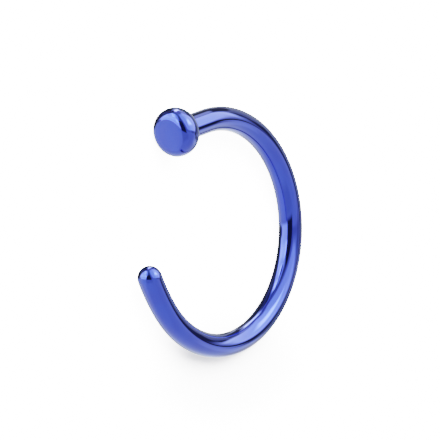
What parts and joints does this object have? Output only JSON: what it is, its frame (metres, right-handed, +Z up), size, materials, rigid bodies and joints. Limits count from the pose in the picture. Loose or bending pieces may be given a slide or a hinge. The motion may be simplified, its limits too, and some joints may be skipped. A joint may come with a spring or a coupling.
{
  "type": "nose ring",
  "caption": "Open round nose hoop of polished blue-plated steel wire, one end headed into a flat round button, the other a plain rounded tip.",
  "frame": {"origin": "middle of the underside of the hoop's box, on the surface it lies on", "axes": "+Z up from the surface, roughly along the hoop's own axis; +X from the head towards the tip's side; the mouth faces -Y"},
  "size_m": [0.0102, 0.0102, 0.002],
  "materials": {
    "blue_steel": "mirror-polished surgical steel with a blue plated coating"
  },
  "bodies": {
    "root": {"nose_hoop": "blue_steel"}
  },
  "joints": []
}
